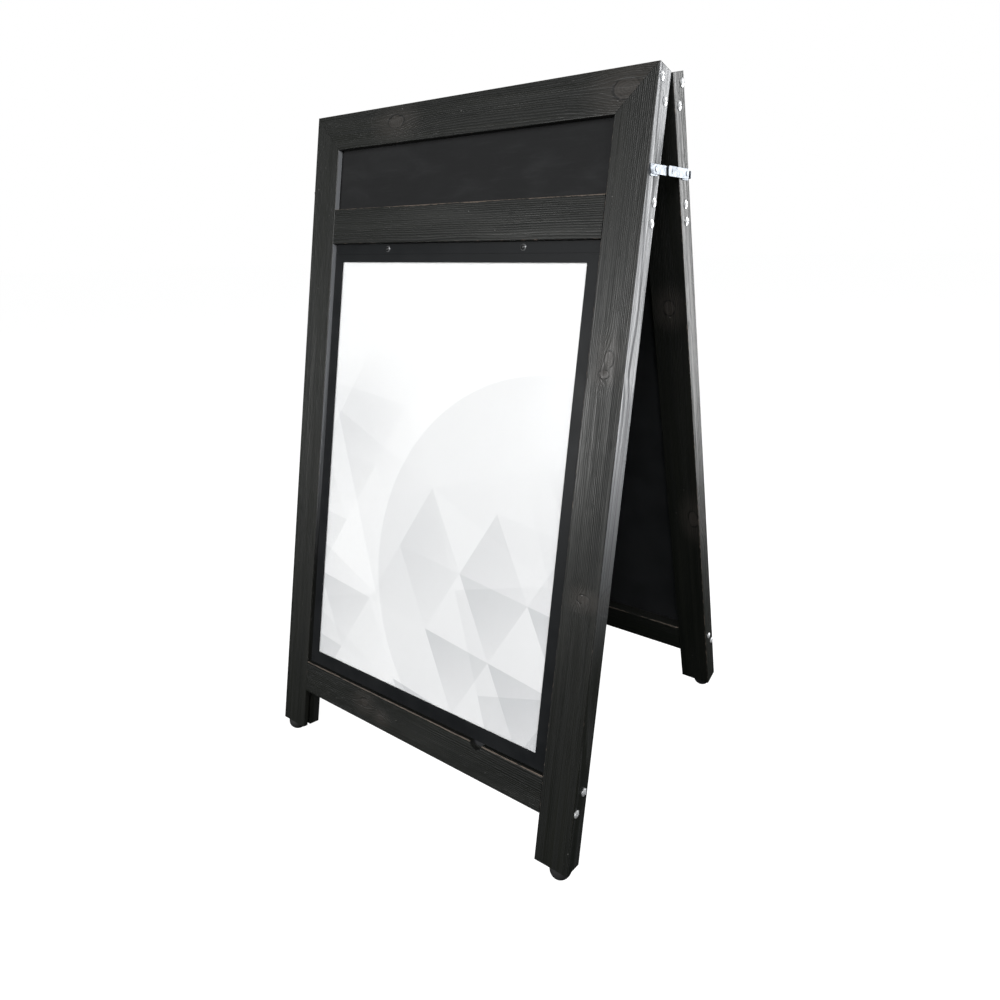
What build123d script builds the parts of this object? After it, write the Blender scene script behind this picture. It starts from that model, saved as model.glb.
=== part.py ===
from build123d import *
from math import asin, atan2, cos, degrees, hypot, sin
import os

# A folding timber A-board: two equal frames hinged together along their top edges, each with a chalkboard
# header above a poster panel under a lift-up cover. All lengths are in millimetres.
# The origin is on the ground at the middle of the footprint, +Z is up, and the front frame faces -Y.

# ---- Overall sizes ----
frame_width = 770.0
board_height = 1300.0
base_depth = 670.0
stile_length = 1305.0

# ---- Timber ----
timber_width = 68.0
timber_thickness = 40.0
timber_edge = 1.5  # radius worn on the long edges
header_height = 116.0
poster_opening = 899.0
joint_gap = 0.3  # open line where a rail meets a stile
groove_width = 7.0
groove_depth = 9.0
groove_lip = 10.0  # timber left in front of the groove

# ---- Panels ----
panel_thickness = 6.0
panel_slack = 1.0
poster_width = 594.0
poster_height = 841.0
poster_thickness = 0.3

# ---- Poster cover ----
cover_width = 628.0
cover_thickness = 1.5
cover_top_gap = 1.0
cover_bottom_gap = 1.5
cover_strip_height = 18.7
cover_seam = 0.3
window_width = 584.0
window_height = 835.0
window_top = 35.0  # from the mid rail to the window's top edge
window_lap = 6.0
window_sheet = 0.8
magnet_thickness = 2.0
magnet_width = 13.0
magnet_edge = 2.0

# ---- Finger notch in the bottom rail ----
notch_x = 167.0
notch_radius = 14.0
notch_depth = 12.0

# ---- Screws through the stiles into the rails ----
# Two hold each end of a rail: (distance outward, distance down from the rail's top edge). They are driven
# by eye, so the two frames differ.
front_joint_spots = {
    "top": [(29.0, 17.0), (10.5, 46.0)],
    "mid": [(8.5, 8.5), (8.5, 40.0)],
    "bottom": [(13.0, 12.0), (31.0, 43.0)],
}
rear_joint_spots = {
    "top": [(31.5, 16.0), (17.0, 47.0)],
    "mid": [(20.0, 10.5), (20.5, 38.0)],
    "bottom": [(18.0, 13.0), (31.5, 40.0)],
}
joint_screw_length = 95.0
joint_shank = 2.5
joint_head = 6.8
joint_head_rim = 1.2
joint_head_height = 3.4
joint_slot_width = 1.4
drill_clearance = 0.05  # on the radius
drill_overrun = 1.0  # a hole's extra depth past its screw
slot_share = 0.5  # of a domed head's height

# ---- Screws of the poster cover ----
cover_screw_x = 163.0
cover_screw_drop = 9.0
cover_shank = 1.75
cover_screw_length = 7.5
cover_head = 4.0
cover_head_rim = 0.5
cover_head_height = 2.3
cover_slot_width = 0.9
washer_radius = 6.0
washer_height = 1.3
washer_bore = 2.0

# ---- Feet ----
foot_radius = 20.0
foot_skirt = 5.5
foot_inset = 24.0  # from the frame's side to the foot's axis
stud_radius = 4.0
stud_in_foot = 8.0
stud_in_leg = 30.0
stud_clearance = 1.0  # left empty at both ends of a stud's holes

# ---- Hinges ----
hinge_spacing = 400.0
hinge_length = 75.0
leaf_height = 30.0
leaf_thickness = 1.2
leaf_gap = 1.35  # from a frame's inner face to the pin's axis
leaf_drop = 0.5  # from a frame's top edge down to the flat part of the leaf
tab_rise = 1.5  # from a frame's top edge up to where the tabs meet the knuckles
pin_rise = 4.0  # pin's axis above the top edges, along the slant
pin_radius = 1.6
pin_clearance = 0.05
pin_head_radius = 2.6
pin_head_length = 1.0
knuckle_radius = 3.4
knuckle_count = 5
knuckle_gap = 0.3
hinge_shank = 1.6
hinge_screw_head = 2.7
hinge_screw_length = 20.0
hinge_screw_drop = 18.0
hinge_screw_spacing = 26.0

# ---- Folding side stays ----
stay_drop = 147.0
front_arm_width = 13.8
rear_arm_width = 15.0
arm_thickness = 1.8
arm_corner = 3.0
arm_end = 7.5  # from a pivot to the arm's outer end
arm_layer_front = 1.7  # height of the front arm's back above the timber
arm_layer_rear = 3.8
arm_layer_raised = 4.5  # the rear arm steps out to this where it crosses the front arm
front_arm_tail = 11.0
rear_arm_tail = 16.0
step_start = 13.0
step_end = 17.0
bracket_thickness = 1.5
bracket_width = 24.0
bracket_above = 7.5
bracket_below = 9.5
bracket_inboard = 9.0
bracket_corner = 2.5
bracket_screw_radius = 2.7
bracket_screw_length = 16.0
bracket_screw_spots = [(10.0, -4.5), (-5.5, 4.0)]  # (outboard, up) from the pivot
flange_height = 6.3
rivet_radius = 2.5
rivet_head = 4.0
rivet_head_height = 0.9
rivet_head_chamfer = 0.5
rivet_collar = 4.2
rivet_tail_height = 1.2
rivet_play = 0.1

# ---- Worked out from the above ----
opening_width = frame_width - 2 * timber_width
header_top = timber_width
mid_top = header_top + header_height
poster_top = mid_top + timber_width
bottom_top = poster_top + poster_opening
groove_out = timber_thickness - groove_lip - groove_width / 2
panel_out = groove_out - groove_width / 2
poster_out = panel_out + panel_thickness
cover_out = poster_out + magnet_thickness
cover_front = cover_out + cover_thickness
cover_top = poster_top + cover_top_gap
seam_top = cover_top + cover_strip_height
cover_bottom = bottom_top - cover_bottom_gap
rail_tops = {"top": 0.0, "mid": mid_top, "bottom": bottom_top}
joint_bore = joint_shank + drill_clearance
cover_bore = cover_shank + drill_clearance

# A leg's outer bottom corner is half the base depth from the pin, which fixes the lean.
corner_out = timber_thickness + leaf_gap
corner_drop = stile_length + pin_rise
lean = asin(base_depth / 2 / hypot(corner_out, corner_drop)) - atan2(corner_out, corner_drop)
pin_height = board_height + pin_rise * cos(lean) - corner_out * sin(lean)

FRONT, REAR = -1, 1
sides = {"front": FRONT, "rear": REAR}
hands = {"left": -1, "right": 1}


# ---- Planes ----
def on_frame(side, drop, out):
    """Point at mid width: drop is down the slant from a frame's top edge, out is from its inner face."""
    down = drop + pin_rise
    away = out + leaf_gap
    y = side * (away * cos(lean) + down * sin(lean))
    return (0, y, pin_height - down * cos(lean) + away * sin(lean))


def face_plane(side, out=0.0):
    """Parallel to a frame's faces: x along the rails, y up the slant from the top edge, z outward."""
    z_dir = (0, side * cos(lean), sin(lean))
    return Plane(origin=on_frame(side, 0, out), x_dir=(-side, 0, 0), z_dir=z_dir)


def stile_plane(side, drop=0.0):
    """Across a stile: x along the rails, y outward, z down the slant."""
    face = face_plane(side)
    return Plane(origin=on_frame(side, drop, 0), x_dir=face.x_dir, z_dir=-face.y_dir)


def rail_plane(side, x):
    """Across a rail: x outward, y down the slant, z along the rail."""
    face = face_plane(side)
    return Plane(origin=face.from_local_coords((x, 0, 0)), x_dir=face.z_dir, z_dir=face.x_dir)


def edge_plane(side, hand):
    """On a frame's side face: x is hand times the distance outward, y down the slant, z off the frame."""
    face = face_plane(side)
    corner = face.from_local_coords((hand * frame_width / 2, 0, 0))
    return Plane(origin=corner, x_dir=hand * face.z_dir, z_dir=hand * face.x_dir)


def stay_plane(hand, height=0.0):
    """Upright plane at the board's side: x is hand times world Y, y is world Z, z away from the board."""
    origin = (hand * (frame_width / 2 + height), 0, 0)
    return Plane(origin=origin, x_dir=(0, hand, 0), z_dir=(hand, 0, 0))


def moved(plane, x, y, z=0.0):
    """The same plane with its origin moved by local x, y and z."""
    return Plane(origin=plane.from_local_coords((x, y, z)), x_dir=plane.x_dir, z_dir=plane.z_dir)


def turning_plane(plane):
    """Through a turned piece's axis: x is the radius, y runs along the plane's normal."""
    return Plane(origin=plane.origin, x_dir=plane.x_dir, z_dir=-plane.y_dir)


def save(name, part):
    part.label = name
    export_step(part, f"parts/{name}.step")


# ---- Turned fasteners ----
def make_domed(planes, head, rim, height, shank, length, slot_width=None):
    """Domed-head screws or rivets on the given planes, as separate solids; a slot width cuts a cross."""
    solids = []
    for plane in planes:
        with BuildPart() as screw:
            with BuildSketch(turning_plane(plane)):
                with BuildLine():
                    Polyline((0, height), (0, -length), (shank, -length), (shank, 0), (head, 0), (head, rim))
                    TangentArc((0, height), (head, rim), tangent=(1, 0))
                make_face()
            revolve(axis=Axis(plane.origin, plane.z_dir))
            if slot_width:
                with BuildSketch(moved(plane, 0, 0, height)):
                    Rectangle(head, slot_width)
                    Rectangle(slot_width, head)
                extrude(amount=-slot_share * height, mode=Mode.SUBTRACT)
        solids.append(screw.part.solid())
    return Compound(solids)


def make_countersunk(planes, head, shank, length):
    """Flat-head screws sunk just below the given planes, as separate solids."""
    solids = []
    sunk = drill_clearance
    for plane in planes:
        with BuildPart() as screw:
            with BuildSketch(turning_plane(plane)):
                with BuildLine():
                    Polyline(
                        (0, -sunk),
                        (0, -length),
                        (shank, -length),
                        (shank, -sunk - head + shank),
                        (head, -sunk),
                        close=True,
                    )
                make_face()
            revolve(axis=Axis(plane.origin, plane.z_dir))
        solids.append(screw.part.solid())
    return Compound(solids)


def bores(planes, radius, depth):
    """Plain round holes going into the given planes, to cut away."""
    with BuildPart() as drilled:
        for plane in planes:
            with BuildSketch(plane):
                Circle(radius)
            extrude(amount=-depth)
    return drilled.part


def sinks(planes, head, shank):
    """The cones of countersunk holes going into the given planes, to cut away."""
    with BuildPart() as sunk:
        for plane in planes:
            with BuildSketch(turning_plane(plane)):
                with BuildLine():
                    Polyline((0, 0), (head, 0), (shank, shank - head), (0, shank - head), close=True)
                make_face()
            revolve(axis=Axis(plane.origin, plane.z_dir))
    return sunk.part


# ---- Where the fasteners stand ----
def joint_screw_planes(side, hand):
    edge = edge_plane(side, hand)
    spots = front_joint_spots if side == FRONT else rear_joint_spots
    return [moved(edge, hand * out, rail_tops[rail] + drop) for rail in spots for out, drop in spots[rail]]


def cover_screw_planes(side, out):
    face = face_plane(side, out)
    return [moved(face, x, -cover_top - cover_screw_drop) for x in (-cover_screw_x, cover_screw_x)]


def hinge_screw_planes(side, out=-leaf_thickness):
    face = face_plane(side, out)
    inward = Plane(origin=face.origin, x_dir=face.x_dir, z_dir=-face.z_dir)
    places = [-hinge_screw_spacing, 0, hinge_screw_spacing]
    centres = [-hinge_spacing / 2, hinge_spacing / 2]
    return [moved(inward, centre + x, hinge_screw_drop) for centre in centres for x in places]


def stud_plane(side, hand):
    return moved(stile_plane(side, stile_length), hand * (frame_width / 2 - foot_inset), timber_thickness / 2)


def stay_pivot(side):
    """World Y and Z of a stay's pivot on a stile."""
    return on_frame(side, stay_drop, timber_thickness / 2)[1:]


def pivot_plane(side, hand, height=0.0):
    y, z = stay_pivot(side)
    return moved(stay_plane(hand, height), hand * y, z)


def bracket_screw_planes(side, hand):
    pivot = pivot_plane(side, hand, bracket_thickness)
    return [moved(pivot, hand * side * outboard, up) for outboard, up in bracket_screw_spots]


# ---- Timber ----
def mitre_cutter(side, hand, beyond, gap=0.0):
    """Triangle above a stile's mitre line, or beyond a top rail's, to cut away."""
    margin = 1.0
    outer = frame_width / 2 + margin
    inner = opening_width / 2 - margin
    with BuildPart() as cutter:
        with BuildSketch(face_plane(side, -margin)):
            with BuildLine():
                Polyline(
                    (hand * (outer + gap), margin),
                    (hand * (inner + gap), -timber_width - margin),
                    (hand * outer, -timber_width - margin) if beyond else (hand * inner, margin),
                    close=True,
                )
            make_face()
        extrude(amount=timber_thickness + 2 * margin)
    return cutter.part


def make_stile(side, hand):
    """Upright of a frame, mitred at the top, with the panel groove down its inner edge."""
    drills = bores(joint_screw_planes(side, hand), joint_bore, timber_width + drill_overrun)
    stud_bore = bores([stud_plane(side, hand)], stud_radius + drill_clearance, stud_in_leg)
    with BuildPart() as stile:
        with BuildSketch(stile_plane(side)):
            with Locations((hand * (frame_width - timber_width) / 2, timber_thickness / 2)):
                RectangleRounded(timber_width, timber_thickness, timber_edge)
            with Locations((hand * (opening_width + groove_depth) / 2, groove_out)):
                Rectangle(groove_depth, groove_width, mode=Mode.SUBTRACT)
        extrude(amount=stile_length)
        add(mitre_cutter(side, hand, beyond=False, gap=joint_gap), mode=Mode.SUBTRACT)
        add(drills, mode=Mode.SUBTRACT)
        add(stud_bore, mode=Mode.SUBTRACT)
        add(stay_bores(side, hand), mode=Mode.SUBTRACT)
    return stile.part


def stay_bores(side, hand):
    """Pilot holes of the stay bracket's screws in a stile."""
    planes = [moved(plane, 0, 0, -bracket_thickness) for plane in bracket_screw_planes(side, -side * hand)]
    return bores(planes, hinge_shank + drill_clearance, bracket_screw_length)


def joint_bores(side):
    """Holes of all the joint screws of a frame, from both sides."""
    planes = joint_screw_planes(side, -1) + joint_screw_planes(side, 1)
    return bores(planes, joint_bore, joint_screw_length + drill_overrun)


def make_top_rail(side):
    """Top member, mitred at both ends, grooved below and drilled for the hinges."""
    hinge_bores = bores(hinge_screw_planes(side, 0), hinge_shank + drill_clearance, hinge_screw_length)
    with BuildPart() as rail:
        with BuildSketch(rail_plane(side, -frame_width / 2)):
            with Locations((timber_thickness / 2, timber_width / 2)):
                RectangleRounded(timber_thickness, timber_width, timber_edge)
            with Locations((groove_out, timber_width - groove_depth / 2)):
                Rectangle(groove_width, groove_depth, mode=Mode.SUBTRACT)
        extrude(amount=frame_width)
        for hand in (-1, 1):
            add(mitre_cutter(side, hand, beyond=True), mode=Mode.SUBTRACT)
        add(joint_bores(side), mode=Mode.SUBTRACT)
        add(hinge_bores, mode=Mode.SUBTRACT)
    return rail.part


def make_rail(side, top, grooves, notched=False):
    """Straight rail between the stiles, grooved at the given distances down from its top edge."""
    length = opening_width - 2 * joint_gap
    with BuildPart() as rail:
        with BuildSketch(rail_plane(side, -length / 2)):
            with Locations((timber_thickness / 2, top + timber_width / 2)):
                RectangleRounded(timber_thickness, timber_width, timber_edge)
            with Locations(*[(groove_out, top + groove) for groove in grooves]):
                Rectangle(groove_width, groove_depth, mode=Mode.SUBTRACT)
        extrude(amount=length)
        add(joint_bores(side), mode=Mode.SUBTRACT)
        if notched:
            with BuildSketch(face_plane(side, timber_thickness - groove_lip)):
                with Locations((notch_x, -top + notch_radius - notch_depth)):
                    Circle(notch_radius)
            extrude(amount=groove_lip, mode=Mode.SUBTRACT)
    return rail.part


# ---- Panels, poster and cover ----
def make_sheet(side, width, top, bottom, out, thickness, drills=None):
    """Flat sheet between two distances down the slant."""
    with BuildPart() as sheet:
        with BuildSketch(face_plane(side, out)):
            with Locations((0, -(top + bottom) / 2)):
                Rectangle(width, bottom - top)
        extrude(amount=thickness)
        if drills:
            add(drills, mode=Mode.SUBTRACT)
    return sheet.part


def make_cover_border(side):
    """Moving part of the cover: a black surround with the poster window in it."""
    window_middle = poster_top + window_top + window_height / 2
    top = seam_top + cover_seam
    with BuildPart() as border:
        with BuildSketch(face_plane(side, cover_out)):
            with Locations((0, -(top + cover_bottom) / 2)):
                Rectangle(cover_width, cover_bottom - top)
            with Locations((0, -window_middle)):
                Rectangle(window_width, window_height, mode=Mode.SUBTRACT)
        extrude(amount=cover_thickness)
    return border.part


def make_cover_magnets(side):
    """Magnetic strips down both sides and along the bottom of the cover's back."""
    top = seam_top + cover_seam + magnet_edge
    bottom = cover_bottom - magnet_edge
    strip_x = (cover_width - magnet_width) / 2 - magnet_edge
    with BuildPart() as magnets:
        with BuildSketch(face_plane(side, poster_out)):
            with Locations((-strip_x, -(top + bottom) / 2), (strip_x, -(top + bottom) / 2)):
                Rectangle(magnet_width, bottom - top)
            with Locations((0, magnet_width / 2 - bottom)):
                Rectangle(2 * strip_x - magnet_width - magnet_edge, magnet_width)
        extrude(amount=magnet_thickness)
    return magnets.part


def make_cup_washers(side):
    """Cup washers under the cover's screws."""
    solids = []
    for plane in cover_screw_planes(side, cover_front):
        with BuildPart() as washer:
            with BuildSketch(turning_plane(plane)):
                with BuildLine():
                    Polyline((washer_bore, 0), (washer_radius, 0), (cover_head, washer_height))
                    Polyline((cover_head, washer_height), (washer_bore, washer_height), (washer_bore, 0))
                make_face()
            revolve(axis=Axis(plane.origin, plane.z_dir))
        solids.append(washer.part.solid())
    return Compound(solids)


# ---- Feet ----
def make_feet(side):
    """Domed rubber feet under both legs, flat where they meet the ground."""
    tip = foot_skirt + foot_radius
    solids = []
    for hand in (-1, 1):
        plane = stud_plane(side, hand)
        with BuildPart() as foot:
            with BuildSketch(turning_plane(plane)):
                with BuildLine():
                    Polyline((0, tip), (0, 0), (foot_radius, 0), (foot_radius, foot_skirt))
                    CenterArc((0, foot_skirt), foot_radius, 0, 90)
                make_face()
            revolve(axis=Axis(plane.origin, plane.z_dir))
            split(bisect_by=Plane.XY, keep=Keep.TOP)
            with BuildSketch(plane):
                Circle(stud_radius + drill_clearance)
            extrude(amount=stud_in_foot, mode=Mode.SUBTRACT)
        solids.append(foot.part.solid())
    return Compound(solids)


def make_foot_studs(side):
    """Studs that hold the feet in the leg ends."""
    solids = []
    for hand in (-1, 1):
        with BuildPart() as stud:
            with BuildSketch(moved(stud_plane(side, hand), 0, 0, stud_clearance - stud_in_leg)):
                Circle(stud_radius)
            extrude(amount=stud_in_leg + stud_in_foot - 2 * stud_clearance)
        solids.append(stud.part.solid())
    return Compound(solids)


# ---- Hinges ----
def pin_plane(x):
    """Across the hinge pins at a world X, with z along them."""
    return Plane(origin=(x, 0, pin_height), x_dir=(0, 1, 0), z_dir=(1, 0, 0))


def make_leaf(side, centre, knuckles):
    """Hinge leaf on a frame's inner face, with its own knuckles rolled round the pin."""
    pitch = hinge_length / knuckle_count
    width = pitch - knuckle_gap
    places = [centre + (k - (knuckle_count - 1) / 2) * pitch for k in knuckles]
    drills = [p for p in hinge_screw_planes(side) if abs(p.origin.X - centre) < hinge_length]
    with BuildPart() as leaf:
        with BuildSketch(face_plane(side, -leaf_thickness)):
            with Locations((-side * centre, -(leaf_drop + leaf_height) / 2)):
                Rectangle(hinge_length - knuckle_gap, leaf_height - leaf_drop)
            with Locations(*[(-side * x, (tab_rise - leaf_drop) / 2) for x in places]):
                Rectangle(width, leaf_drop + tab_rise)
        extrude(amount=leaf_thickness)
        for x in places:
            with BuildSketch(pin_plane(x - width / 2)):
                Circle(knuckle_radius)
            extrude(amount=width)
        with BuildSketch(pin_plane(centre - hinge_length)):
            Circle(pin_radius + pin_clearance)
        extrude(amount=2 * hinge_length, mode=Mode.SUBTRACT)
        add(bores(drills, hinge_shank + drill_clearance, 2 * leaf_thickness), mode=Mode.SUBTRACT)
        add(sinks(drills, hinge_screw_head + drill_clearance, hinge_shank), mode=Mode.SUBTRACT)
    return leaf.part


def make_hinge_pins():
    """The pins of both hinges, each with a small head at both ends."""
    solids = []
    for hand in (-1, 1):
        start = hand * hinge_spacing / 2 - hinge_length / 2 - pin_head_length
        end = start + hinge_length + pin_head_length
        with BuildPart() as pin:
            with BuildSketch(pin_plane(start)):
                Circle(pin_radius)
            extrude(amount=hinge_length + 2 * pin_head_length)
            for x in (start, end):
                with BuildSketch(pin_plane(x)):
                    Circle(pin_head_radius)
                extrude(amount=pin_head_length)
        solids.append(pin.part.solid())
    return Compound(solids)


# ---- Side stays ----
def make_bracket(side, hand):
    """Plate that holds a stay's pivot on a stile, with a turned-out flange at its outer end."""
    pivot = pivot_plane(side, hand)
    outboard = hand * side
    drills = bracket_screw_planes(side, hand)
    outer_end = bracket_width - bracket_inboard
    height = bracket_above + bracket_below
    middle = (bracket_above - bracket_below) / 2
    with BuildPart() as bracket:
        with BuildSketch(pivot):
            with Locations((outboard * (outer_end - bracket_inboard) / 2, middle)):
                RectangleRounded(bracket_width, height, bracket_corner)
            Circle(rivet_radius + drill_clearance, mode=Mode.SUBTRACT)
        extrude(amount=bracket_thickness)
        with BuildSketch(pivot):
            with Locations((outboard * (outer_end - bracket_thickness / 2), middle)):
                Rectangle(bracket_thickness, height - 2 * bracket_corner)
        extrude(amount=flange_height)
        add(bores(drills, hinge_shank + drill_clearance, 2 * bracket_thickness), mode=Mode.SUBTRACT)
        add(sinks(drills, bracket_screw_radius + drill_clearance, hinge_shank), mode=Mode.SUBTRACT)
    return bracket.part


def make_front_arm(hand):
    """Flat arm from the front stile to just past the middle."""
    y, z = stay_pivot(FRONT)
    start = y - arm_end
    with BuildPart() as arm:
        with BuildSketch(stay_plane(hand, arm_layer_front)):
            with Locations((hand * (start + front_arm_tail) / 2, z)):
                RectangleRounded(front_arm_tail - start, front_arm_width, arm_corner)
            with Locations((hand * y, z), (0, z)):
                Circle(rivet_radius + drill_clearance, mode=Mode.SUBTRACT)
        extrude(amount=arm_thickness)
    return arm.part


def make_rear_arm(hand):
    """Arm from the rear stile that steps outward to pass over the front arm."""
    y, z = stay_pivot(REAR)
    base = frame_width / 2
    line = [
        (arm_layer_raised, -rear_arm_tail),
        (arm_layer_raised, step_start),
        (arm_layer_rear, step_end),
        (arm_layer_rear, y + arm_end),
    ]
    outer_line = [(layer + arm_thickness, place) for layer, place in reversed(line)]
    with BuildPart() as arm:
        with BuildSketch(Plane.XY.offset(z - rear_arm_width / 2)):
            with BuildLine():
                Polyline(*[(hand * (base + layer), place) for layer, place in line + outer_line], close=True)
            make_face()
        extrude(amount=rear_arm_width)
        fillet(arm.edges().filter_by(Axis.X), radius=arm_corner)
        with BuildSketch(stay_plane(hand)):
            with Locations((hand * y, z), (0, z)):
                Circle(rivet_radius + drill_clearance)
        extrude(amount=arm_layer_raised + 2 * arm_thickness, mode=Mode.SUBTRACT)
    return arm.part


def make_pivot_rivets(side):
    """Rivets that hold the stay arms on the brackets; the rear ones have a collar to space their arm out."""
    top = arm_thickness + (arm_layer_front if side == FRONT else arm_layer_rear) + rivet_play
    solids = []
    for hand in (-1, 1):
        pivot = pivot_plane(side, hand)
        with BuildPart() as rivet:
            with BuildSketch(pivot):
                Circle(rivet_radius)
            extrude(amount=top)
            with BuildSketch(moved(pivot, 0, 0, top)):
                Circle(rivet_head)
            extrude(amount=rivet_head_height)
            outermost = rivet.faces().sort_by(Axis.X)[-1 if hand > 0 else 0]
            chamfer(outermost.edges(), length=rivet_head_chamfer)
            if side == REAR:
                with BuildSketch(moved(pivot, 0, 0, bracket_thickness)):
                    Circle(rivet_collar)
                extrude(amount=arm_layer_rear - rivet_play - bracket_thickness)
        solids.append(rivet.part.solid())
    return Compound(solids)


def make_centre_rivet_head(hand):
    """Outer half of the stay's middle rivet, in the rear arm."""
    _, z = stay_pivot(REAR)
    plane = moved(stay_plane(hand, arm_layer_raised + arm_thickness), 0, z)
    rim = rivet_head_height / 3
    return make_domed([plane], rivet_head, rim, rivet_head_height, rivet_radius, arm_thickness)


def make_centre_rivet_tail(hand):
    """Inner half of the stay's middle rivet, in the front arm."""
    _, z = stay_pivot(FRONT)
    with BuildPart() as tail:
        with BuildSketch(moved(stay_plane(hand, arm_layer_front - rivet_tail_height), 0, z)):
            Circle(rivet_head)
        extrude(amount=rivet_tail_height)
        with BuildSketch(moved(stay_plane(hand, arm_layer_front), 0, z)):
            Circle(rivet_radius)
        extrude(amount=arm_thickness)
    return tail.part


# ---- The two frames ----
def save_frame(name, side):
    """All the timber, panels, cover pieces, screws and feet of one frame."""
    for hand_name, hand in hands.items():
        save(f"{name}_stile_{hand_name}", make_stile(side, -side * hand))
    save(f"{name}_top_rail", make_top_rail(side))
    edges = [groove_depth / 2, timber_width - groove_depth / 2]
    save(f"{name}_mid_rail", make_rail(side, mid_top, edges))
    save(f"{name}_bottom_rail", make_rail(side, bottom_top, edges[:1], notched=True))

    panel_width = opening_width + 2 * (groove_depth - panel_slack)
    reach = groove_depth - 2 * panel_slack
    header = (header_top - reach, mid_top + groove_depth)
    save(f"{name}_header_chalkboard", make_sheet(side, panel_width, *header, panel_out, panel_thickness))
    backing = (poster_top - reach, bottom_top + groove_depth)
    cover_holes = bores(cover_screw_planes(side, cover_front), cover_bore, cover_screw_length)
    backing_panel = make_sheet(side, panel_width, *backing, panel_out, panel_thickness, cover_holes)
    save(f"{name}_backing_panel", backing_panel)

    window = (poster_top + window_top, poster_top + window_top + window_height)
    middle = sum(window) / 2
    poster = (middle - poster_height / 2, middle + poster_height / 2)
    save(f"{name}_poster", make_sheet(side, poster_width, *poster, poster_out, poster_thickness))

    strip = (cover_top, seam_top)
    cover_strip = make_sheet(side, cover_width, *strip, cover_out, cover_thickness, cover_holes)
    save(f"{name}_cover_strip", cover_strip)
    magnet = (cover_top + magnet_edge, seam_top - magnet_edge / 2)
    magnet_length = cover_width - 2 * magnet_edge
    top_magnet = make_sheet(side, magnet_length, *magnet, poster_out, magnet_thickness, cover_holes)
    save(f"{name}_cover_strip_magnet", top_magnet)
    save(f"{name}_cover_border", make_cover_border(side))
    sheet = (window[0] - window_lap, window[1] + window_lap)
    sheet_width = window_width + 2 * window_lap
    cover_window = make_sheet(side, sheet_width, *sheet, cover_out - window_sheet, window_sheet)
    save(f"{name}_cover_window", cover_window)
    save(f"{name}_cover_magnets", make_cover_magnets(side))

    screw_planes = cover_screw_planes(side, cover_front + washer_height)
    length = cover_screw_length + washer_height - drill_overrun
    cover_sizes = (cover_head, cover_head_rim, cover_head_height, cover_shank, length)
    screws = make_domed(screw_planes, *cover_sizes, cover_slot_width)
    save(f"{name}_cover_screws", screws)
    save(f"{name}_cup_washers", make_cup_washers(side))

    joint_planes = joint_screw_planes(side, -1) + joint_screw_planes(side, 1)
    joint_sizes = (joint_head, joint_head_rim, joint_head_height, joint_shank, joint_screw_length)
    save(f"{name}_joint_screws", make_domed(joint_planes, *joint_sizes, joint_slot_width))
    save(f"{name}_feet", make_feet(side))
    save(f"{name}_foot_studs", make_foot_studs(side))
    hinge_sizes = (hinge_screw_head, hinge_shank, hinge_screw_length)
    save(f"{name}_hinge_screws", make_countersunk(hinge_screw_planes(side), *hinge_sizes))


def save_hinges():
    own_knuckles = {"front": range(0, knuckle_count, 2), "rear": range(1, knuckle_count, 2)}
    for hand_name, hand in hands.items():
        for name, side in sides.items():
            leaf = make_leaf(side, hand * hinge_spacing / 2, own_knuckles[name])
            save(f"hinge_{hand_name}_{name}_leaf", leaf)
    save("hinge_pins", make_hinge_pins())


def save_stays():
    for name, side in sides.items():
        planes = bracket_screw_planes(side, -1) + bracket_screw_planes(side, 1)
        save(f"stay_{name}_rivets", make_pivot_rivets(side))
        screws = make_countersunk(planes, bracket_screw_radius, hinge_shank, bracket_screw_length)
        save(f"stay_{name}_screws", screws)
        for hand_name, hand in hands.items():
            save(f"stay_{hand_name}_{name}_bracket", make_bracket(side, hand))
    for hand_name, hand in hands.items():
        save(f"stay_{hand_name}_front_arm", make_front_arm(hand))
        save(f"stay_{hand_name}_rear_arm", make_rear_arm(hand))
        save(f"stay_{hand_name}_rivet_head", make_centre_rivet_head(hand))
        save(f"stay_{hand_name}_rivet_tail", make_centre_rivet_tail(hand))


os.makedirs("parts", exist_ok=True)
for side_name, side_sign in sides.items():
    save_frame(side_name, side_sign)
save_hinges()
save_stays()

print(f"lean {degrees(lean):.3f} degrees, hinge pins {pin_height:.2f} mm above the ground")
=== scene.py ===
from math import pi, radians

import bpy
from mathutils import Matrix, Vector


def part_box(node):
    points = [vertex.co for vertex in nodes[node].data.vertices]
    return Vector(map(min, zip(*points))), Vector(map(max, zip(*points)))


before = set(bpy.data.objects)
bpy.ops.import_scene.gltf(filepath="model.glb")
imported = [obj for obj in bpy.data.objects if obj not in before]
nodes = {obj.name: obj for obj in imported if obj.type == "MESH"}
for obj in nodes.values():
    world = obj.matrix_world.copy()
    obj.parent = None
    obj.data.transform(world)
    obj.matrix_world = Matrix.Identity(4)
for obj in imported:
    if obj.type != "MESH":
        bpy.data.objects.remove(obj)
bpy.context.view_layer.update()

SIDES = {"front": -1, "rear": 1}


# ---- Directions and sizes read from the frame ----
def middle(name):
    """Middle of a CAD node's box."""
    low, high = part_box(name)
    return (low + high) / 2


def down_slant(side):
    """Unit vector down a frame's face, from its header panel to its backing panel."""
    return (middle(f"{side}_backing_panel") - middle(f"{side}_header_chalkboard")).normalized()


def across_frame(side):
    """Unit vector along a frame's rails, to the right for someone who faces it from outside."""
    return Vector((-SIDES[side], 0, 0))


def out_of_frame(side):
    """Unit vector out of a frame's visible face."""
    return across_frame(side).cross(-down_slant(side))


def reach(name, direction):
    """Lowest and highest place of a node's mesh along a direction."""
    places = [v.co.dot(direction) for v in nodes[name].data.vertices]
    return min(places), max(places)


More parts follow.
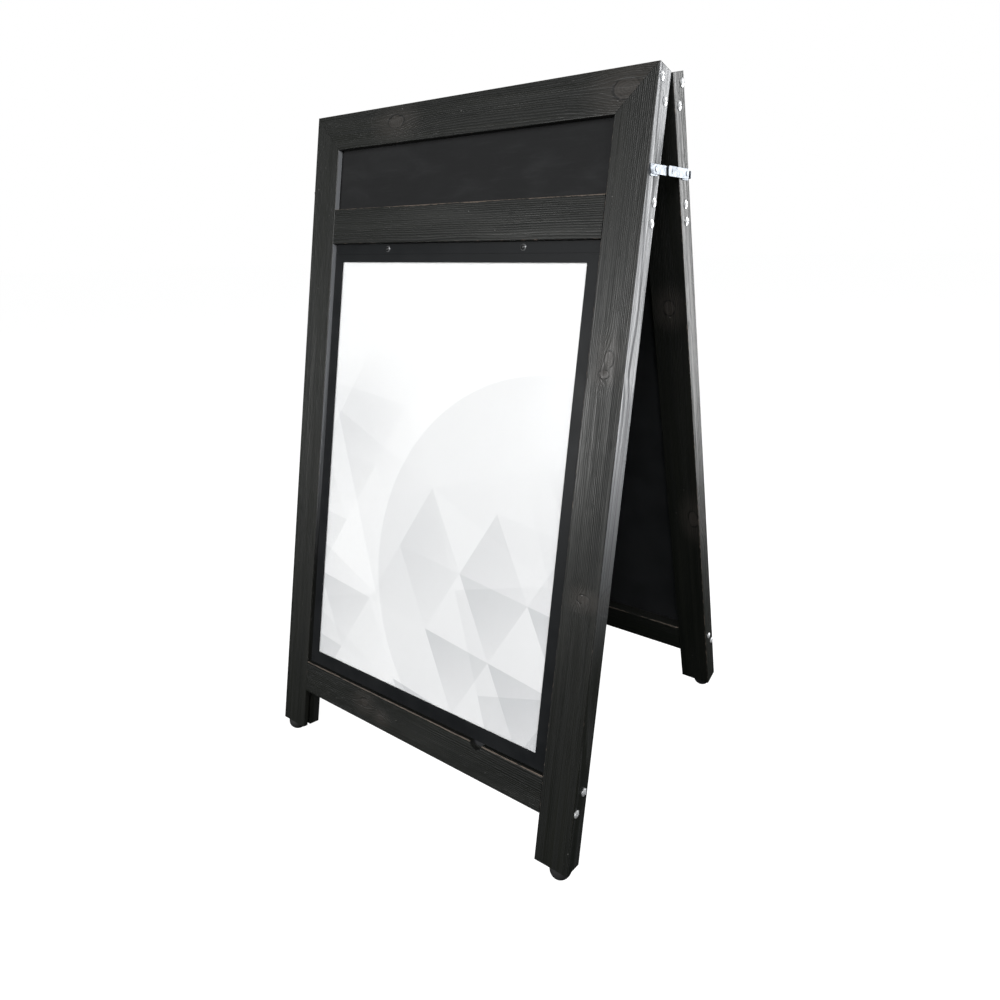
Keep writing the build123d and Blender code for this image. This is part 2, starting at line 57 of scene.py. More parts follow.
class Lay:
    """How a flat piece lies: its long, cross and outward directions, its middle and its half sizes."""

    def __init__(self, name, along, across, outward):
        self.turn = Matrix((along, across, outward))
        ends = [reach(name, direction) for direction in (along, across, outward)]
        self.middle = Vector([(low + high) / 2 for low, high in ends])
        self.half = Vector([(high - low) / 2 for low, high in ends])


# ---- Node trees ----
class Tree:
    """Short calls that build a node tree. A value is a number, a tuple or another node's output."""

    def __init__(self, tree):
        self.tree = tree

    def give(self, socket, value):
        if isinstance(value, bpy.types.NodeSocket):
            self.tree.links.new(value, socket)
        elif value is not None:
            socket.default_value = value

    def add(self, kind, inputs=None, **settings):
        node = self.tree.nodes.new(kind)
        for name, value in settings.items():
            setattr(node, name, value)
        for name, value in (inputs or {}).items():
            self.give(node.inputs[name], value)
        return node

    def math(self, operation, *values):
        node = self.add("ShaderNodeMath", operation=operation)
        for socket, value in zip(node.inputs, values):
            self.give(socket, value)
        return node.outputs[0]

    def plus(self, first, second):
        return self.math("ADD", first, second)

    def minus(self, first, second):
        return self.math("SUBTRACT", first, second)

    def times(self, first, second):
        return self.math("MULTIPLY", first, second)

    def vector(self, operation, *values):
        node = self.add("ShaderNodeVectorMath", operation=operation)
        for socket, value in zip(node.inputs, values):
            self.give(socket, value)
        return node.outputs["Value" if operation == "LENGTH" else "Vector"]

    def distance(self, place, centre):
        return self.vector("LENGTH", self.vector("SUBTRACT", place, centre))

    def split(self, vector):
        return self.add("ShaderNodeSeparateXYZ", {"Vector": vector}).outputs[:]

    def join(self, x, y, z):
        return self.add("ShaderNodeCombineXYZ", {"X": x, "Y": y, "Z": z}).outputs[0]

    def noise(self, place, scale, detail=2.0, rough=0.5, bend=0.0):
        """Noise of one scale per metre, or of one for each direction."""
        if isinstance(scale, tuple):
            place, scale = self.vector("MULTIPLY", place, scale), 1.0
        inputs = {"Vector": place, "Scale": scale, "Detail": detail, "Roughness": rough, "Distortion": bend}
        return self.add("ShaderNodeTexNoise", inputs).outputs["Fac"]

    def spread(self, value, low, high, to_low=0.0, to_high=1.0, smooth=True):
        """A value's stretch from low to high, laid over another stretch and held at its ends."""
        kind = "SMOOTHSTEP" if smooth else "LINEAR"
        inputs = {"Value": value, "From Min": low, "From Max": high, "To Min": to_low, "To Max": to_high}
        return self.add("ShaderNodeMapRange", inputs, interpolation_type=kind).outputs["Result"]

    def blend(self, share, first, second):
        """From the first colour to the second as share goes from 0 to 1."""
        node = self.add("ShaderNodeMix", data_type="RGBA")
        for socket, value in zip((node.inputs[0], node.inputs[6], node.inputs[7]), (share, first, second)):
            self.give(socket, value)
        return node.outputs[2]

    def bump(self, height, depth):
        """Normals of a relief: its height runs from 0 to 1 over a depth in metres."""
        return self.add("ShaderNodeBump", {"Height": height, "Distance": depth}).outputs["Normal"]


def new_material(name, **sockets):
    """An empty material with its shader, whose plain settings are given here."""
    material = bpy.data.materials.new(name)
    material.use_nodes = True
    tree = Tree(material.node_tree)
    material.node_tree.nodes.clear()
    shader = tree.add("ShaderNodeBsdfPrincipled")
    out = tree.add("ShaderNodeOutputMaterial")
    tree.give(out.inputs["Surface"], shader.outputs[0])
    for socket, value in sockets.items():
        tree.give(shader.inputs[socket.replace("_", " ")], value)
    return material, tree, shader


def local_place(tree, lay=None):
    """Place in metres from the frame's origin. With a lay: along, across and outward from its middle."""
    place = tree.add("ShaderNodeTexCoord").outputs["Object"]
    if lay is None:
        return place
    mapping = tree.add("ShaderNodeMapping", {"Vector": place})
    mapping.inputs["Rotation"].default_value = lay.turn.to_euler()
    mapping.inputs["Location"].default_value = -lay.middle
    return mapping.outputs[0]


def new_group(name, inputs, outputs):
    """A node group with the named sockets, its tree, and the sockets inside it."""
    group = bpy.data.node_groups.new(name, "ShaderNodeTree")
    kinds = {"v": "NodeSocketVector", "f": "NodeSocketFloat", "c": "NodeSocketColor"}
    for socket, kind in inputs.items():
        group.interface.new_socket(socket, in_out="INPUT", socket_type=kinds[kind])
    for socket, kind in outputs.items():
        group.interface.new_socket(socket, in_out="OUTPUT", socket_type=kinds[kind])
    tree = Tree(group)
    return group, tree, tree.add("NodeGroupInput").outputs, tree.add("NodeGroupOutput").inputs


def use_group(tree, group, **inputs):
    node = tree.add("ShaderNodeGroup", node_tree=group)
    for name, value in inputs.items():
        tree.give(node.inputs[name], value)
    return node.outputs


def dress(name, material):
    """Gives a CAD node its material."""
    slots = nodes[name].data.materials
    if not slots:
        slots.append(material)
    for index in range(len(slots)):
        slots[index] = material


# ---- Stained timber ----
RING_GAP = 0.0030  # between growth rings
KNOT_PUSH = 0.85  # share by which the grain is pushed off a knot
KNOT_LIFT = 0.009  # rise of the rings round a knot
NO_KNOT = 9.0  # distance from a knot, in its radii, on timber that has none
RELIEF = 0.00045  # depth of the brushed grain
SEAM = 0.0007  # half width of the dark line where two members meet
ARRIS = 0.002  # width of the band along an edge that wear is measured in

# patterns of the timber: scales per metre along the grain and both ways across it, detail and roughness
PATTERNS = {
    "uneven": ((4.0, 60.0, 60.0), 2.0, 0.5),
    "bundle": ((2.2, 34.0, 34.0), 1.0, 0.5),
    "fine": ((3.0, 460.0, 460.0), 3.0, 0.6),
    "broad": ((1.4, 110.0, 110.0), 2.0, 0.5),
    "fleck": ((38.0, 1300.0, 1300.0), 1.0, 0.5),
    "patch": ((4.0, 14.0, 14.0), 3.0, 0.55),
    "chatter": ((70.0, 300.0, 300.0), 4.0, 0.65),
    "stretch": ((9.0, 20.0, 20.0), 3.0, 0.6),
}
BOW = (1.1, 3.0, 3.0)  # the same three scales, for the slow bow of the rings
SPECK_CELLS = 95.0  # cells per metre, of which some hold a speck of dust
EMPTY_CELLS = 0.93  # share of them that hold none

STAIN_DARK = (0.0010, 0.0017, 0.0011, 1)
STAIN_LIGHT = (0.0108, 0.0113, 0.0092, 1)
# painted sheen: the pale grey painted on the side faces in place of their shine
SHEEN_GREY = (0.2220, 0.2290, 0.2430, 1)
KNOT_GREY = (0.0400, 0.0350, 0.0310, 1)
KNOT_LINE = (0.0020, 0.0020, 0.0019, 1)
BARE_WOOD = (0.1500, 0.1180, 0.0950, 1)
DUST = (0.3500, 0.3400, 0.3300, 1)


def make_knot_group():
    """One knot: bends the grain round itself and measures how near it is, in its own radii."""
    inputs = {"Place": "v", "Grain": "v", "Near": "f", "Centre": "v", "Size": "v"}
    group, tree, given, results = new_group("Knot", inputs, {"Grain": "v", "Near": "f"})
    offset = tree.vector("DIVIDE", tree.vector("SUBTRACT", given["Place"], given["Centre"]), given["Size"])
    a, b, _ = tree.split(offset)
    ragged = tree.spread(tree.noise(given["Place"], 90.0), 0, 1, -0.2, 0.2, smooth=False)
    near = tree.plus(tree.vector("LENGTH", tree.join(a, b, 0.0)), ragged)
    wide = tree.vector("LENGTH", tree.join(tree.math("DIVIDE", a, 2.6), tree.math("DIVIDE", b, 1.9), 0.0))
    pull = tree.math("EXPONENT", tree.times(tree.times(wide, wide), -1.0))
    _, size_across, _ = tree.split(given["Size"])
    push = tree.times(tree.times(b, size_across), tree.times(pull, -KNOT_PUSH))
    shift = tree.join(0.0, push, tree.times(pull, KNOT_LIFT))
    tree.give(results["Grain"], tree.vector("ADD", given["Grain"], shift))
    tree.give(results["Near"], tree.math("MINIMUM", near, given["Near"]))
    return group


def pattern(tree, place, name):
    scale, detail, rough = PATTERNS[name]
    return tree.noise(place, scale, detail, rough)


def late_wood(tree, place, grain, pith):
    """Dark lines of the growth rings, about the tree's heart, which wanders beside the member."""
    _, b, c = tree.split(tree.vector("SUBTRACT", grain, pith))
    slow = tree.vector("MULTIPLY", place, BOW)
    wander = tree.spread(tree.noise(slow, 1.0, 1.0), 0, 1, -0.012, 0.012, smooth=False)
    rise = tree.spread(tree.noise(slow, 2.6, 1.0), 0, 1, -0.008, 0.008, smooth=False)
    radius = tree.vector("LENGTH", tree.join(tree.plus(b, wander), tree.plus(c, rise), 0.0))
    uneven = tree.spread(pattern(tree, place, "uneven"), 0, 1, -0.4, 0.4)
    ring = tree.math("FRACT", tree.plus(tree.math("DIVIDE", radius, RING_GAP), uneven))
    line = tree.times(tree.spread(ring, 0.42, 0.78), tree.spread(ring, 0.84, 1.0, 1.0, 0.0))
    return tree.times(line, tree.spread(pattern(tree, place, "bundle"), 0.36, 0.62, 0.25, 1.0))


def stain_colour(tree, place, late, fine, fleck):
    """The stain: darker in the late wood and the flecks, lighter along the fibres and in patches."""
    broad, patch = pattern(tree, place, "broad"), pattern(tree, place, "patch")
    tone = tree.times(late, tree.spread(patch, 0.3, 0.7, -0.7, -0.4))
    tone = tree.plus(tone, tree.spread(fine, 0.34, 0.66, 0.12, 0.74))
    tone = tree.plus(tone, tree.spread(broad, 0.3, 0.7, -0.10, 0.20))
    tone = tree.plus(tone, tree.spread(patch, 0.3, 0.7, -0.10, 0.16))
    tone = tree.minus(tone, tree.spread(fleck, 0.56, 0.74, 0.0, 0.4))
    return tree.blend(tree.math("MAXIMUM", tree.math("MINIMUM", tone, 1.0), 0.0), STAIN_DARK, STAIN_LIGHT)


def painted_sheen(tree, colour, place, late, fine, sheen_share):
    """Painted sheen: the side faces go to a pale grey, streaked with the grain, most of all towards the top.
    """
    facing, _, _ = tree.split(tree.add("ShaderNodeTexCoord").outputs["Normal"])
    along, _, _ = tree.split(place)
    # where the painted sheen lies: on the side faces, more towards the top
    share = tree.times(tree.spread(tree.math("ABSOLUTE", facing), 0.8, 0.97), sheen_share)
    share = tree.times(share, tree.spread(along, -0.32, 0.16))
    streak = tree.plus(tree.spread(fine, 0.3, 0.7, 0.4, 1.0), tree.times(late, -0.35))
    return tree.blend(tree.times(share, tree.math("MAXIMUM", streak, 0.1)), colour, SHEEN_GREY)


def knot_colour(tree, colour, place, near, fine):
    """A brown disc with its own rings, a dark broken outline and a paler halo along the grain."""
    halo = tree.times(tree.spread(near, 1.0, 4.0, 0.50, 0.0), tree.spread(near, 0.9, 1.1))
    halo = tree.times(halo, tree.spread(fine, 0.3, 0.6, 0.4, 1.0))
    colour = tree.blend(halo, colour, KNOT_GREY)
    turns = tree.math("SINE", tree.times(near, 24.0))
    disc = tree.blend(tree.spread(turns, -1, 1, 0.48, 0.80), STAIN_DARK, KNOT_GREY)
    colour = tree.blend(tree.spread(near, 0.92, 1.0, 1.0, 0.0), colour, disc)
    outline = tree.times(tree.spread(near, 0.80, 0.98), tree.spread(near, 1.0, 1.2, 1.0, 0.0))
    outline = tree.times(outline, tree.spread(tree.noise(place, 55.0, 1.0), 0.38, 0.58, 0.1, 1.0))
    return tree.blend(tree.times(outline, 0.85), colour, KNOT_LINE), outline


def edge_wear(tree, place, on_member, half, wear):
    """Where the stain is rubbed through along the arrises, most of all on upper and left-hand ones."""
    _, half_b, half_c = tree.split(half)
    _, b, c = tree.split(on_member)
    from_side = tree.minus(half_b, tree.math("ABSOLUTE", b))
    from_face = tree.minus(half_c, tree.math("ABSOLUTE", c))
    from_edge = tree.math("DIVIDE", tree.plus(from_side, from_face), ARRIS)
    limit = tree.times(tree.spread(pattern(tree, place, "stretch"), 0.28, 0.60, 0.4, 1.0), wear)
    limit = tree.times(limit, tree.spread(b, -0.02, 0.02, 0.25, 1.0))
    chatter = tree.spread(pattern(tree, place, "chatter"), 0.25, 0.75, -0.3, 0.6)
    rubbed = tree.minus(tree.plus(from_edge, chatter), limit)
    return tree.times(tree.spread(rubbed, 0.0, 0.35, 1.0, 0.0), 0.7)


def dust_specks(tree, place):
    """Small pale specks."""
    cells = tree.add("ShaderNodeTexVoronoi", {"Vector": place, "Scale": SPECK_CELLS})
    draw, _, _ = tree.split(cells.outputs["Color"])
    dot = tree.spread(cells.outputs["Distance"], 0.05, 0.09, 1.0, 0.0)
    return tree.times(tree.times(dot, tree.math("GREATER_THAN", draw, EMPTY_CELLS)), 0.6)


def make_timber_group():
    """Black-stained softwood: growth rings, fibres, knots, worn arrises and dust, with a painted sheen on
    the side faces.
    """
    inputs = {
        "Place": "v", "Grain": "v", "Near": "f", "Half": "v",
        "Pith": "v", "Seed": "f", "Wear": "f", "Pale": "f",
    }
    outputs = {"Colour": "c", "Roughness": "f", "Height": "f"}
    group, tree, given, results = new_group("Timber", inputs, outputs)
    on_member = given["Place"]
    seed = tree.join(given["Seed"], tree.times(given["Seed"], 1.7), 0.0)
    place = tree.vector("ADD", on_member, seed)
    late = late_wood(tree, place, given["Grain"], given["Pith"])
    fine, fleck = pattern(tree, place, "fine"), pattern(tree, place, "fleck")

    colour = stain_colour(tree, place, late, fine, fleck)
    # painted sheen on the side faces
    colour = painted_sheen(tree, colour, on_member, late, fine, given["Pale"])
    colour, outline = knot_colour(tree, colour, place, given["Near"], fine)
    worn = edge_wear(tree, place, on_member, given["Half"], given["Wear"])
    colour = tree.blend(worn, colour, BARE_WOOD)
    tree.give(results["Colour"], tree.blend(dust_specks(tree, place), colour, DUST))

    rough = tree.plus(tree.spread(fine, 0.34, 0.66, 0.54, 0.31), tree.times(late, 0.3))
    rough = tree.plus(rough, tree.spread(fleck, 0.56, 0.74, 0.0, 0.15))
    tree.give(results["Roughness"], tree.plus(rough, tree.times(worn, 0.25)))

    height = tree.minus(tree.times(fine, 0.55), tree.times(late, 0.75))
    height = tree.minus(height, tree.spread(fleck, 0.60, 0.78, 0.0, 0.3))
    tree.give(results["Height"], tree.minus(height, tree.times(outline, 0.5)))
    return group


knot_group = make_knot_group()
timber_group = make_timber_group()


def seam_distance(tree, place, lay, member, clear_half):
    """How far along a member its joint is, 0 on the joint: mitred at the top corners, square below."""
    a, b, _ = tree.split(place)
    if member in ("mid_rail", "bottom_rail"):
        return tree.minus(clear_half, tree.math("ABSOLUTE", a))
    if member == "top_rail":
        from_end = tree.minus(lay.half.x, tree.math("ABSOLUTE", a))
        from_outside = tree.minus(lay.half.y, b)
    else:
        from_end = tree.minus(lay.half.x, a)
        outside = tree.times(b, 1.0 if lay.middle.y > 0 else -1.0)
        from_outside = tree.minus(lay.half.y, outside)
    return tree.minus(from_end, from_outside)


def timber_material(name, lay, member, clear_half, seed, sheen_share, knots):
    """Timber of one member. A knot is (along, across, its half length, its half width), in metres."""
    material, tree, shader = new_material(name, Specular_IOR_Level=0.5)
    place = local_place(tree, lay)
    grain = place
    near = NO_KNOT
    for along, across, long_half, cross_half in knots:
        bent = use_group(tree, knot_group, Place=place, Grain=grain, Near=near,
                         Centre=(along, across, 0), Size=(long_half, cross_half, 1))
        grain, near = bent["Grain"], bent["Near"]
    wood = use_group(tree, timber_group, Place=place, Grain=grain, Near=near, Half=tuple(lay.half),
                     Pith=(0, *PITHS[member]), Seed=seed, Wear=WEAR[member], Pale=sheen_share)
    seam = tree.math("ABSOLUTE", seam_distance(tree, place, lay, member, clear_half))
    line = tree.spread(seam, SEAM / 2, SEAM * 1.5, 0.85, 0.0)
    tree.give(shader.inputs["Base Color"], tree.blend(line, wood["Colour"], KNOT_LINE))
    tree.give(shader.inputs["Roughness"], wood["Roughness"])
    tree.give(shader.inputs["Normal"], tree.bump(wood["Height"], RELIEF))
    return material


# knots of each member: along and across from its middle, half length and half width, in metres
KNOTS = {
    "front_top_rail": [(-0.157, 0.004, 0.021, 0.012), (0.334, 0.001, 0.024, 0.016)],
    "front_stile_right": [
        (0.218, -0.004, 0.014, 0.009),
        (0.193, 0.002, 0.007, 0.010),
        (-0.172, -0.006, 0.008, 0.012),
    ],
    "front_bottom_rail": [(-0.130, 0.006, 0.012, 0.009), (-0.080, -0.008, 0.009, 0.007)],
    "rear_stile_left": [(0.10, 0.004, 0.016, 0.011), (-0.31, -0.012, 0.010, 0.007)],
    "rear_stile_right": [(0.285, 0.0, 0.014, 0.012), (-0.17, 0.022, 0.020, 0.011)],
    "rear_top_rail": [(0.21, -0.006, 0.017, 0.010)],
    "rear_bottom_rail": [(0.07, 0.004, 0.014, 0.010)],
}
# where the tree's heart lies from each member's middle: across it and outward, in metres
PITHS = {
    "stile_left": (0.066, -0.016),
    "stile_right": (0.070, -0.012),
    "top_rail": (-0.064, -0.020),
    "mid_rail": (-0.062, -0.030),
    "bottom_rail": (0.060, -0.026),
}
# how far the arrises are worn
WEAR = {"stile_left": 0.35, "stile_right": 0.35, "top_rail": 0.32, "mid_rail": 0.95, "bottom_rail": 0.75}
# how strong the painted sheen is that takes each stile's side faces towards grey
SHEEN_SHARES = {"front_stile_left": 1.6, "front_stile_right": 1.15, "rear_stile_left": 0.1, "rear_stile_right": 0.1}
SEED_STEP = 3.7  # between one member's patterns and the next


def dress_timber():
    """Every member gets a material of its own, with its own knots and patterns."""
    seed = 0.0
    for side in SIDES:
        down, across, out = down_slant(side), across_frame(side), out_of_frame(side)
        clear_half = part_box(f"{side}_stile_right")[0].x
        for member in PITHS:
            name = f"{side}_{member}"
            seed += SEED_STEP
            upright = member.startswith("stile")
            lay = Lay(name, -down if upright else across, -across if upright else -down, out)
            # share of painted sheen on the side faces
            knots, sheen_share = KNOTS.get(name, []), SHEEN_SHARES.get(name, 0.0)
            dress(name, timber_material(f"timber_{name}", lay, member, clear_half, seed, sheen_share, knots))


# ---- Panels, cover and poster ----
BOARD_PAINT = (0.0100, 0.0102, 0.0108, 1)
CHALK_HAZE = (0.0240, 0.0245, 0.0255, 1)
CLEAR_TINT = (0.95, 0.96, 0.97, 1)


def chalkboard_material(lay):
    """Matt board paint with the faint haze of wiped chalk."""
    material, tree, shader = new_material("chalkboard_paint", Specular_IOR_Level=0.2)
    place = local_place(tree, lay)
    haze = tree.noise(place, (9.0, 22.0, 9.0), 4.0, 0.6, 0.6)
    wipes = tree.noise(place, (14.0, 130.0, 14.0), 3.0, 0.6, 0.2)
    grit = tree.noise(place, 2400.0, 2.0)
    share = tree.plus(tree.spread(haze, 0.4, 0.8, 0, 0.6), tree.spread(wipes, 0.5, 0.8, 0, 0.25))
    tree.give(shader.inputs["Base Color"], tree.blend(share, BOARD_PAINT, CHALK_HAZE))
    tree.give(shader.inputs["Roughness"], tree.spread(haze, 0.3, 0.7, 0.72, 0.86))
    tree.give(shader.inputs["Normal"], tree.bump(grit, 0.00003))
    return material


def plastic_material(name, dark, light, low_rough, high_rough, grain_scale, grain_depth, **sockets):
    """Moulded or rolled plastic, rubber or paint: a fine grain and slow changes of tone."""
    material, tree, shader = new_material(name, **sockets)
    place = local_place(tree)
    slow = tree.noise(place, 14.0, 3.0, 0.6)
    grain = tree.noise(place, grain_scale, 2.0)
    tree.give(shader.inputs["Base Color"], tree.blend(tree.spread(slow, 0.3, 0.7), dark, light))
    tree.give(shader.inputs["Roughness"], tree.spread(slow, 0.3, 0.7, low_rough, high_rough))
    tree.give(shader.inputs["Normal"], tree.bump(grain, grain_depth))
    return material


def zinc_material(name, light, dull, metallic, low_rough, high_rough):
    """Zinc plating: faint spangle, rolling lines and dull marks."""
    material, tree, shader = new_material(name, Metallic=metallic)
    place = local_place(tree)
    cells = tree.add("ShaderNodeTexVoronoi", {"Vector": place, "Scale": 900.0})
    spangle, _, _ = tree.split(cells.outputs["Color"])
    lines = tree.noise(place, (3000.0, 160.0, 3000.0))
    marks = tree.noise(place, 160.0, 4.0, 0.6)
    tone = tree.plus(tree.times(spangle, 0.3), tree.spread(marks, 0.35, 0.7, 0.0, 0.7))
    tree.give(shader.inputs["Base Color"], tree.blend(tone, light, dull))
    tree.give(shader.inputs["Roughness"], tree.spread(marks, 0.3, 0.7, low_rough, high_rough))
    tree.give(shader.inputs["Normal"], tree.bump(lines, 0.00001))
    return material


# layers of pale facets: cells per metre along and across, how each way leans, a seed and a strength
FACET_LAYERS = [(5.9, 7.3, -0.58, 0.12, 11.0, 0.66), (4.3, 4.9, 0.42, -0.30, 7.0, 0.44)]
DISC_CENTRE = (0.26, -0.156, 0.0)  # from the poster's middle
DISC_RADIUS = 0.389
DISC_EDGE = 0.003  # over which the disc fades out
LEFT_CLUSTER = (-0.20, 0.02, 0.0)  # where the facets reach higher up
PAPER = (0.855, 0.855, 0.858, 1)
PALE_INK = (0.53, 0.535, 0.55, 1)


def facet_layer(tree, a, b, wide, high, lean, fall, seed, strength):
    """A lattice of triangles, each with its own faint tone that deepens across it."""
    across = tree.times(tree.plus(a, tree.times(b, lean)), wide)
    up = tree.times(tree.plus(b, tree.times(a, fall)), high)
    skew = tree.join(across, up, 0.0)
    u, v, _ = tree.split(tree.vector("FRACTION", skew))
    upper = tree.plus(tree.math("GREATER_THAN", tree.plus(u, v), 1.0), seed)
    cell = tree.vector("ADD", tree.vector("FLOOR", skew), tree.join(0, 0, upper))
    tone = tree.spread(tree.add("ShaderNodeTexWhiteNoise", {"Vector": cell}).outputs["Value"], 0.25, 1.0)
    deepens = tree.spread(tree.minus(v, u), -1.0, 1.0, 0.15, 1.0, smooth=False)
    return tree.times(tree.times(tone, deepens), strength)


def poster_material(lay):
    """Printed poster: a large soft disc and pale facets on white, without lettering."""
    material, tree, shader = new_material("poster_print", Roughness=0.6, Specular_IOR_Level=0.2)
    place = local_place(tree, lay)
    a, b, _ = tree.split(place)
    layers = [facet_layer(tree, a, b, *layer) for layer in FACET_LAYERS]
    low = tree.spread(b, 0.14, -0.20, 0.0, 1.0)
    near_left = tree.spread(tree.distance(place, LEFT_CLUSTER), 0.05, 0.26, 0.8, 0.0)
    facets = tree.times(tree.plus(*layers), tree.math("MAXIMUM", low, near_left))
    disc = tree.spread(tree.distance(place, DISC_CENTRE), DISC_RADIUS, DISC_RADIUS + DISC_EDGE, 0.26, 0.0)
    tree.give(shader.inputs["Base Color"], tree.blend(tree.plus(facets, disc), PAPER, PALE_INK))
    return material


def window_material():
    """Clear anti-glare sheet, seen mostly by its soft shine."""
    material, tree, shader = new_material("clear_cover", IOR=1.5, Alpha=0.08, Base_Color=CLEAR_TINT)
    rough = tree.spread(tree.noise(local_place(tree), 9.0), 0.3, 0.7, 0.14, 0.22)
    tree.give(shader.inputs["Roughness"], rough)
    return material


def make_finishes():
    """The materials of everything that isn't timber, chalkboard or poster."""
    return {
        "window": window_material(),
        "cover": plastic_material("cover_sheet", (0.0062, 0.0070, 0.0080, 1), (0.0090, 0.0098, 0.0108, 1),
                                  0.42, 0.52, 2600.0, 0.00002, Specular_IOR_Level=0.16),
        "magnet": plastic_material("magnet_strip", (0.022, 0.019, 0.017, 1), (0.034, 0.030, 0.027, 1),
                                   0.75, 0.9, 1500.0, 0.00004, Specular_IOR_Level=0.3),
        "black": plastic_material("black_fastener", (0.012, 0.012, 0.013, 1), (0.020, 0.020, 0.021, 1),
                                  0.30, 0.40, 2200.0, 0.00001),
        # painted highlight: the black cup washers are given a lighter grey than the black fasteners, so that
        # their rims read as lit
        "cup": plastic_material("cup_washer", (0.110, 0.112, 0.116, 1), (0.150, 0.152, 0.156, 1),
                                0.28, 0.38, 2200.0, 0.00001, Metallic=0.4),
        "backing": plastic_material("backing_paint", (0.010, 0.0105, 0.012, 1), (0.0145, 0.0155, 0.0175, 1),
                                    0.5, 0.62, 900.0, 0.00002),
        "rubber": plastic_material("foot_rubber", (0.0085, 0.0085, 0.0090, 1), (0.0160, 0.0160, 0.0165, 1),
                                   0.55, 0.72, 1300.0, 0.00004),
        # one zinc plating in two copies: painted darker on the stays as painted shade against their shine,
        # and lighter on the screw heads as a painted highlight
        "zinc": zinc_material("zinc_plate_painted_dark", (0.24, 0.26, 0.285, 1), (0.15, 0.165, 0.19, 1), 1.0, 0.36, 0.48),
        "painted_bright_zinc": zinc_material("zinc_head_painted_bright", (0.90, 0.91, 0.92, 1), (0.70, 0.71, 0.73, 1), 0.6, 0.24, 0.36),
    }


# which finish a node takes: the first whose word is in the node's name
FINISH_OF = {
    "cover_window": "window",
    "magnet": "magnet",
    "cover_screws": "black",
    "cup_washers": "cup",
    "cover": "cover",
    "backing": "backing",
    "feet": "rubber",
    "joint_screws": "painted_bright_zinc",
    "stay": "zinc",
    "hinge": "zinc",
    "studs": "zinc",
}


def dress_rest():
    finishes = make_finishes()
    for name in nodes:
        words = [word for word in FINISH_OF if word in name]
        if words:
            dress(name, finishes[FINISH_OF[words[0]]])
    for side in SIDES:
        down, across, out = down_slant(side), across_frame(side), out_of_frame(side)
        header, poster = f"{side}_header_chalkboard", f"{side}_poster"
        dress(header, chalkboard_material(Lay(header, across, -down, out)))
        dress(poster, poster_material(Lay(poster, across, -down, out)))


# ---- Floor, light and camera ----
FLOOR_RADIUS = 40.0
FLOOR_GREY = (0.25, 0.25, 0.25, 1)
FLOOR_GLOW = 0.97  # so that the floor stays pale
WHITE = (1, 1, 1, 1)

# the light of the sky and of the ground: colours and strengths
SKY, GROUND = (0.96, 0.98, 1.0, 1), (0.72, 1.0, 0.80, 1)
SKY_STRENGTH, GROUND_STRENGTH = 0.11, 0.01

# each area light: its place, the point it faces, its width and height, and its power in watts
LIGHTS = {
    "key_light": ((1.9, -3.8, 3.4), (0, -0.2, 0.6), (2.5, 2.5), 172),
    "front_fill": ((-1.4, -3.6, 1.5), (0, -0.2, 0.8), (1.4, 1.3), 74),
    "right_fill": ((3.3, -1.5, 2.2), (0.3, 0, 1.1), (1.2, 1.8), 42),
    "side_light": ((1.37, 1.45, 1.20), (0.385, 0.45, 1.20), (1.2, 2.20), 50),
}

CAMERA_PLACE = (0.8743, -1.0510, 1.0558)
CAMERA_TURN = 33.54  # degrees from facing +Y towards -X
CAMERA_FALL = 18.01  # degrees below level
CAMERA_ROLL = -1.162  # degrees about its line of sight
CAMERA_LENS = 24.32  # mm
CAMERA_SHIFT = (-0.0653, -0.0419)  # of the picture, as shares of its width


def make_floor():
    """A pale floor with soft shadows, which lights nothing."""
    bpy.ops.mesh.primitive_circle_add(vertices=96, radius=FLOOR_RADIUS, fill_type="NGON", location=(0, 0, 0))
    floor = bpy.context.object
    floor.name = "floor"
    floor.visible_diffuse = False
    floor.visible_glossy = False
    material, _, _ = new_material("pale_floor", Roughness=0.9, Specular_IOR_Level=0.0, Base_Color=FLOOR_GREY,
                                  Emission_Color=WHITE, Emission_Strength=FLOOR_GLOW)
    floor.data.materials.append(material)


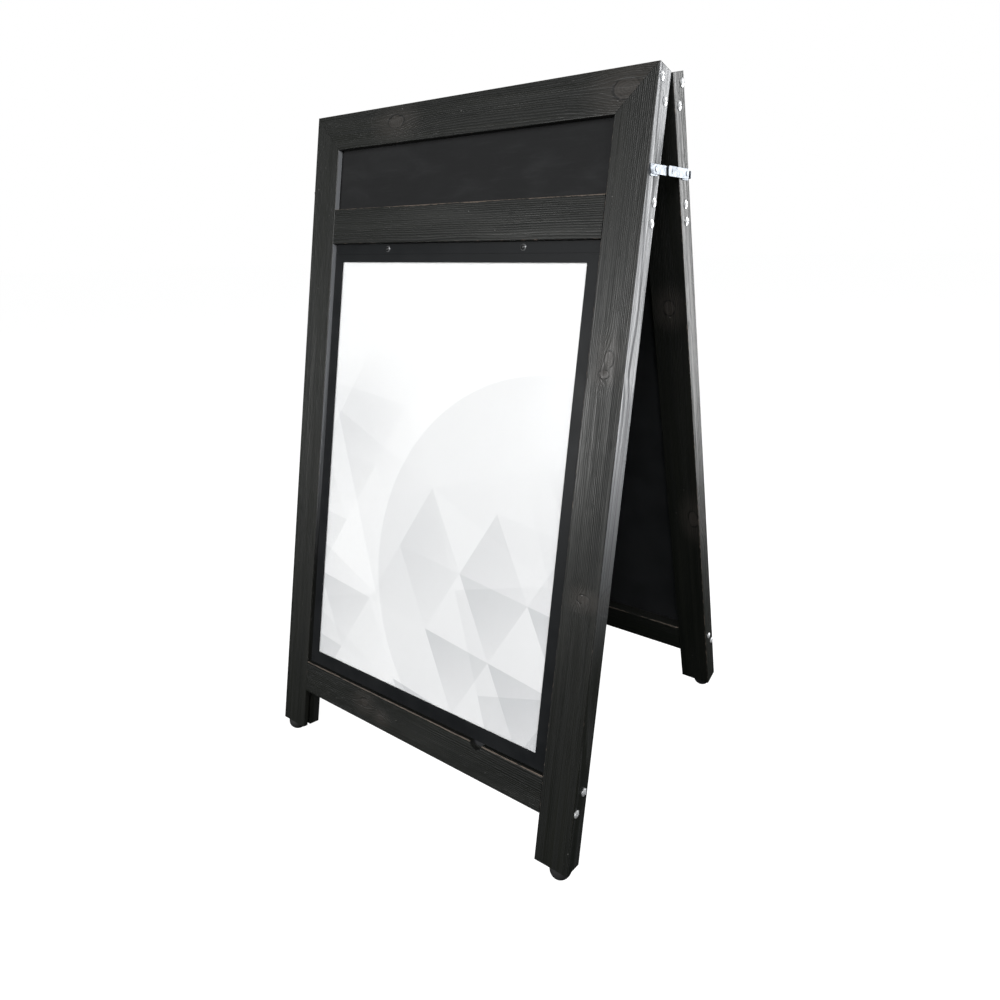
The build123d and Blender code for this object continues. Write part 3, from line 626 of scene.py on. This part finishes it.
def make_area_light(name, place, target, size, power):
    data = bpy.data.lights.new(name, "AREA")
    data.shape = "RECTANGLE"
    data.size, data.size_y = size
    data.energy = power
    light = bpy.data.objects.new(name, data)
    light.location = place
    light.rotation_euler = (Vector(target) - Vector(place)).to_track_quat("-Z", "Y").to_euler()
    light.visible_camera = False
    bpy.context.collection.objects.link(light)


def make_world():
    """White behind the object, and a dimmer sky over a dark ground for its light."""
    world = bpy.data.worlds.new("studio")
    bpy.context.scene.world = world
    world.use_nodes = True
    world.node_tree.nodes.clear()
    tree = Tree(world.node_tree)
    _, _, height = tree.split(tree.add("ShaderNodeTexCoord").outputs["Generated"])
    tint = tree.blend(tree.spread(height, 0.0, 0.5), GROUND, SKY)
    strength = tree.spread(height, -0.10, 0.25, GROUND_STRENGTH, SKY_STRENGTH)
    sky = tree.add("ShaderNodeBackground", {"Color": tint, "Strength": strength})
    backdrop = tree.add("ShaderNodeBackground", {"Color": WHITE})
    seen = tree.add("ShaderNodeLightPath").outputs["Is Camera Ray"]
    mixed = tree.add("ShaderNodeMixShader", {"Fac": seen})
    tree.give(mixed.inputs[1], sky.outputs[0])
    tree.give(mixed.inputs[2], backdrop.outputs[0])
    tree.give(tree.add("ShaderNodeOutputWorld").inputs["Surface"], mixed.outputs[0])


def make_lights():
    make_world()
    for name, settings in LIGHTS.items():
        make_area_light(name, *settings)


def make_camera():
    """At the right of the front face, a little below the top rail, looking down at it."""
    data = bpy.data.cameras.new("camera")
    data.lens = CAMERA_LENS
    data.shift_x, data.shift_y = CAMERA_SHIFT
    camera = bpy.data.objects.new("camera", data)
    bpy.context.collection.objects.link(camera)
    turn = Matrix.Rotation(radians(CAMERA_TURN), 3, "Z")
    tilt = Matrix.Rotation(pi / 2 - radians(CAMERA_FALL), 3, "X")
    roll = Matrix.Rotation(radians(CAMERA_ROLL), 3, "Z")
    camera.location = CAMERA_PLACE
    camera.rotation_euler = (turn @ tilt @ roll).to_euler()
    bpy.context.scene.camera = camera


dress_timber()
dress_rest()
make_floor()
make_lights()
make_camera()
bpy.context.scene.view_settings.view_transform = "Standard"
